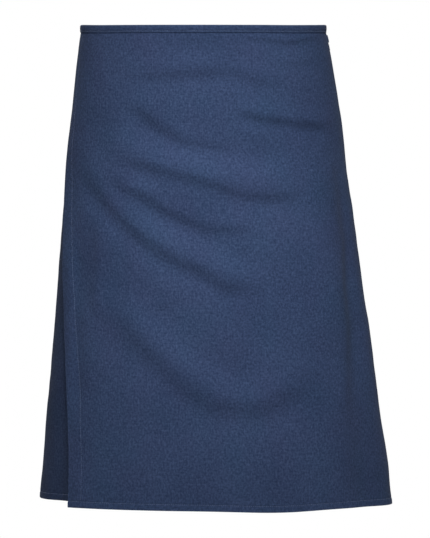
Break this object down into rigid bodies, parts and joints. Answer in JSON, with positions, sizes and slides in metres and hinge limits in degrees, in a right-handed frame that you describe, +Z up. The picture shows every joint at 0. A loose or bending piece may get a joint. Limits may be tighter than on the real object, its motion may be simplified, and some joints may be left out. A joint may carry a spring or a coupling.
{
  "type": "welding apron",
  "caption": "Wrap-round waist apron of dark blue heavy twill with a narrow waistband, tied behind, with an overlapping loose front lap that opens.",
  "frame": {"origin": "middle of the waist, level with the apron's top edge, where the wearer's waist holds it up", "axes": "+Z up along the wearer, +Y towards the wearer's back, so that the front of the apron faces -Y, +X towards the side seam with the slit"},
  "size_m": [0.5118, 0.3559, 0.7],
  "materials": {
    "twill_outer": "matt heavy cotton twill, dark denim blue",
    "twill_under": "the same twill, in the layer that lies underneath",
    "waistband_binding": "twill strip folded over the top edge",
    "tie_cloth": "twill strip folded and sewn into a flat tie",
    "thread": "blue sewing thread, a little lighter than the cloth",
    "tack_thread": "close bar-tack stitches"
  },
  "bodies": {
    "wrap": {"back_hem_stitching": "thread", "back_panel": "twill_outer", "bow_knot": "tie_cloth", "bow_loop_left": "tie_cloth", "bow_loop_right": "tie_cloth", "bow_tail_left": "tie_cloth", "bow_tail_right": "tie_cloth", "front_edge_stitching": "thread", "front_hem_stitching": "thread", "front_panel": "twill_outer", "inner_end_tack": "tack_thread", "left_seam_stitching_1": "thread", "left_seam_stitching_2": "thread", "outer_end_tack": "tack_thread", "right_seam_stitching_1": "thread", "right_seam_stitching_2": "thread", "slit_tack": "tack_thread", "tie_left": "tie_cloth", "tie_right": "tie_cloth", "under_edge_stitching": "thread", "under_hem_stitching": "thread", "under_panel": "twill_under", "waistband": "waistband_binding", "waistband_stitching": "thread"},
    "lap": {"front_lap": "twill_outer", "lap_edge_stitching": "thread", "lap_hem_stitching": "thread"}
  },
  "joints": [
    {"name": "lap_swing", "type": "hinge", "parent": "wrap", "child": "lap", "pos_m": [-0.2085, -0.0413, -0.2], "axis": [-0.1602, 0.2512, 0.9546], "range_deg": [0, 30]}
  ]
}
